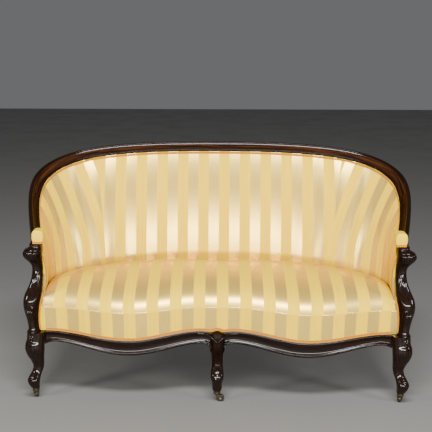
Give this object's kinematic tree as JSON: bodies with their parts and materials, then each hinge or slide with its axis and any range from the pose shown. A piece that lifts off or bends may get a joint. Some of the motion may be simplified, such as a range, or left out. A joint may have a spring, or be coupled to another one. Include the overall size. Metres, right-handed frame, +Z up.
{
  "type": "cabriole sofa",
  "caption": "Basket-backed sofa with a moulded show-wood crest rail, serpentine front rail, cabriole front legs on casters and striped satin upholstery.",
  "frame": {"origin": "centre of the bounding box at floor level", "axes": "+X along the seat to the viewer's right, +Y from the front to the back, +Z up"},
  "size_m": [1.734, 0.7866, 1.034],
  "materials": {
    "polished_wood": "gloss",
    "dark_wood": "gloss",
    "plain_wood": "matte",
    "satin": "satin",
    "gimp": "satin",
    "linen": "matte",
    "horsehair": "matte",
    "black_cloth": "matte",
    "spring_steel": "satin",
    "steel": "satin",
    "brass": "satin"
  },
  "bodies": {
    "frame": {"crest_rail_centre": "polished_wood", "crest_shoulder_left": "polished_wood", "crest_shoulder_right": "polished_wood", "arm_rail_left": "dark_wood", "arm_rail_right": "dark_wood", "arm_support_left": "dark_wood", "arm_support_right": "dark_wood", "front_leg_left": "dark_wood", "front_leg_right": "dark_wood", "front_leg_centre": "dark_wood", "front_rail_left": "dark_wood", "front_rail_right": "dark_wood", "rear_leg_left": "dark_wood", "rear_leg_right": "dark_wood", "side_rail_left": "plain_wood", "side_rail_right": "plain_wood", "back_rail": "plain_wood", "back_tack_rail": "plain_wood", "side_tack_rail_left": "plain_wood", "side_tack_rail_right": "plain_wood", "back_uprights": "plain_wood", "seat_stretcher": "plain_wood", "corner_blocks": "plain_wood", "seat_webbing": "linen", "seat_springs": "spring_steel", "spring_canvas": "linen", "seat_stuffing": "horsehair", "seat_cover": "satin", "dust_cover": "black_cloth", "back_canvas": "linen", "back_stuffing_centre": "horsehair", "back_stuffing_left": "horsehair", "back_stuffing_right": "horsehair", "back_cover_centre": "satin", "back_cover_left": "satin", "back_cover_right": "satin", "outer_back_centre": "satin", "outer_back_left": "satin", "outer_back_right": "satin", "arm_pad_left": "satin", "arm_pad_right": "satin", "crest_gimp": "gimp", "front_rail_gimp": "gimp", "arm_gimp_left": "gimp", "arm_gimp_right": "gimp", "caster_socket_left": "brass", "caster_socket_right": "brass", "caster_socket_centre": "brass", "caster_screws": "brass"},
    "fork_left": {"caster_fork_left": "brass", "caster_axle_left": "steel"},
    "wheel_left": {"caster_wheel_left": "brass"},
    "fork_right": {"caster_fork_right": "brass", "caster_axle_right": "steel"},
    "wheel_right": {"caster_wheel_right": "brass"},
    "fork_centre": {"caster_fork_centre": "brass", "caster_axle_centre": "steel"},
    "wheel_centre": {"caster_wheel_centre": "brass"}
  },
  "joints": [
    {"name": "caster_swivel_left", "type": "hinge", "parent": "frame", "child": "fork_left", "pos_m": [-0.79252, -0.35222, 0.034], "axis": [0, 0, 1], "continuous": true},
    {"name": "caster_roll_left", "type": "hinge", "parent": "fork_left", "child": "wheel_left", "pos_m": [-0.79252, -0.33722, 0.016], "axis": [1, 0, 0], "continuous": true},
    {"name": "caster_swivel_right", "type": "hinge", "parent": "frame", "child": "fork_right", "pos_m": [0.79252, -0.35222, 0.034], "axis": [0, 0, 1], "continuous": true},
    {"name": "caster_roll_right", "type": "hinge", "parent": "fork_right", "child": "wheel_right", "pos_m": [0.79252, -0.33722, 0.016], "axis": [1, 0, 0], "continuous": true},
    {"name": "caster_swivel_centre", "type": "hinge", "parent": "frame", "child": "fork_centre", "pos_m": [0, -0.35658, 0.034], "axis": [0, 0, 1], "continuous": true},
    {"name": "caster_roll_centre", "type": "hinge", "parent": "fork_centre", "child": "wheel_centre", "pos_m": [0.015, -0.35658, 0.016], "axis": [0, 1, 0], "continuous": true}
  ]
}
